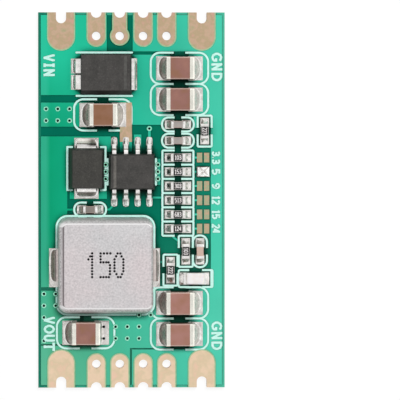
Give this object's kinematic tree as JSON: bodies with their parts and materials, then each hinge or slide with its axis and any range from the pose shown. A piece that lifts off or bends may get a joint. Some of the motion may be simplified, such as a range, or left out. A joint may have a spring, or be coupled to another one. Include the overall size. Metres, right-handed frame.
{
  "type": "buck converter module",
  "caption": "Step-down converter board with plated edge pads, moulded power inductor, controller chip, two diodes, ceramic capacitors, chip resistors and an output jumper row.",
  "frame": {"origin": "middle of the board's underside", "axes": "+X across the board, +Y from the output edge to the input edge, +Z out of the component face"},
  "size_m": [0.0202, 0.0406, 0.0056],
  "materials": {
    "laminate": "glass-fibre board under a green solder mask, semi-gloss",
    "masked_copper": "copper under a green solder mask, semi-gloss",
    "gold_plating": "pale flash gold, satin",
    "tin_plating": "bright tin, slightly dull",
    "solder": "lead-free solder, satin",
    "ink": "white board ink, matt",
    "mould_compound": "black epoxy moulding compound, fine matt grain",
    "pressed_powder": "pressed iron powder with a pale grey coat, fine grain",
    "capacitor_ceramic": "brown fired ceramic, semi-gloss",
    "resistor_ceramic": "white alumina, matt",
    "resistor_glaze": "black glass glaze",
    "lamp_plastic": "white lamp base, matt",
    "lamp_lens": "milky lens resin, gloss"
  },
  "bodies": {
    "root": {"circuit_board": "laminate", "top_copper_areas": "masked_copper", "bare_supply_strip": "gold_plating", "castellated_power_pads": "gold_plating", "castellated_signal_pads": "gold_plating", "component_lands": "solder", "jumper_pads": "gold_plating", "via_barrels": "masked_copper", "ink_outlines": "ink", "solder_joints": "solder", "jumper_solder_bridge": "solder", "input_diode_body": "mould_compound", "input_diode_anode_legs": "tin_plating", "input_diode_cathode_tab": "tin_plating", "box_diode_body": "mould_compound", "box_diode_legs": "tin_plating", "controller_body": "mould_compound", "controller_legs": "tin_plating", "controller_heat_pad": "tin_plating", "inductor_body": "pressed_powder", "inductor_terminals": "tin_plating", "indicator_base": "lamp_plastic", "indicator_lens": "lamp_lens", "indicator_ends": "tin_plating", "large_capacitor_1_ceramic": "capacitor_ceramic", "large_capacitor_1_ends": "tin_plating", "large_capacitor_2_ceramic": "capacitor_ceramic", "large_capacitor_2_ends": "tin_plating", "large_capacitor_3_ceramic": "capacitor_ceramic", "large_capacitor_3_ends": "tin_plating", "large_capacitor_4_ceramic": "capacitor_ceramic", "large_capacitor_4_ends": "tin_plating", "large_capacitor_5_ceramic": "capacitor_ceramic", "large_capacitor_5_ends": "tin_plating", "large_capacitor_6_ceramic": "capacitor_ceramic", "large_capacitor_6_ends": "tin_plating", "small_capacitor_1_ceramic": "capacitor_ceramic", "small_capacitor_2_ceramic": "capacitor_ceramic", "small_capacitor_3_ceramic": "capacitor_ceramic", "small_capacitor_4_ceramic": "capacitor_ceramic", "small_capacitor_ends": "tin_plating", "resistor_1_substrate": "resistor_ceramic", "resistor_2_substrate": "resistor_ceramic", "resistor_3_substrate": "resistor_ceramic", "resistor_4_substrate": "resistor_ceramic", "resistor_5_substrate": "resistor_ceramic", "resistor_6_substrate": "resistor_ceramic", "resistor_7_substrate": "resistor_ceramic", "resistor_8_substrate": "resistor_ceramic", "resistor_9_substrate": "resistor_ceramic", "resistor_glazes": "resistor_glaze", "resistor_ends": "tin_plating"}
  },
  "joints": []
}
